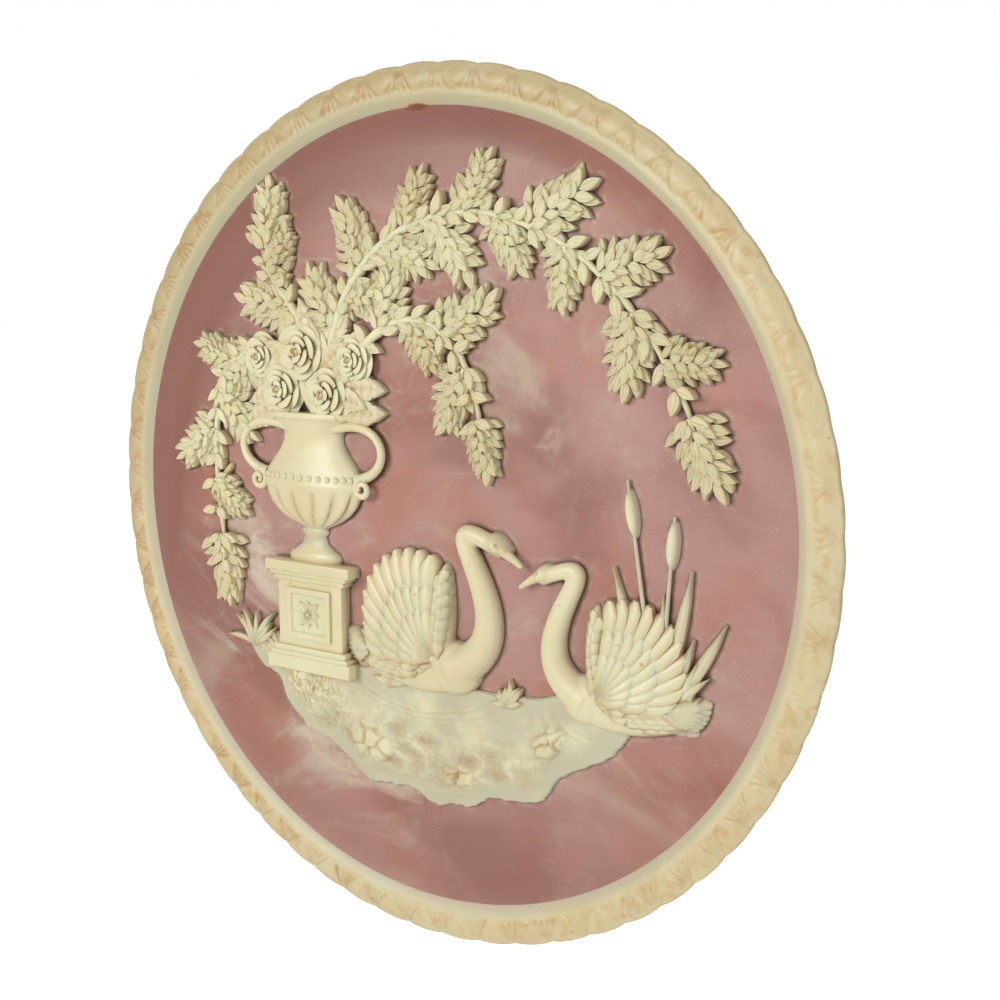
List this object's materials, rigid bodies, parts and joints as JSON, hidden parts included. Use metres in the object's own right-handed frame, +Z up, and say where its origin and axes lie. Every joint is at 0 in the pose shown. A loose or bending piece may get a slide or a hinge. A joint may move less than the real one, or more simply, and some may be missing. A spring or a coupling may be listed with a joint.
{
  "type": "decorative wall plate",
  "caption": "Round cast-stone wall plate with a scalloped leaf rim and a low relief of a flower urn, leafy sprays, swans and reeds on a dished face, with a foot ring behind.",
  "frame": {"origin": "on the rear face of the foot ring at twelve o'clock, where the plate lies against the wall", "axes": "+Z up, -Y the way the face looks, +X to the right of someone who looks at the face"},
  "size_m": [0.2632, 0.021, 0.2632],
  "materials": {
    "ivory_stone": "satin ivory cast stone with tan staining in its recesses, on the rim, the back and the relief",
    "rose_stone": "softly polished rose cast stone with pale clouding, on the ground of the face"
  },
  "bodies": {
    "root": {"plate": "ivory_stone"}
  },
  "joints": []
}
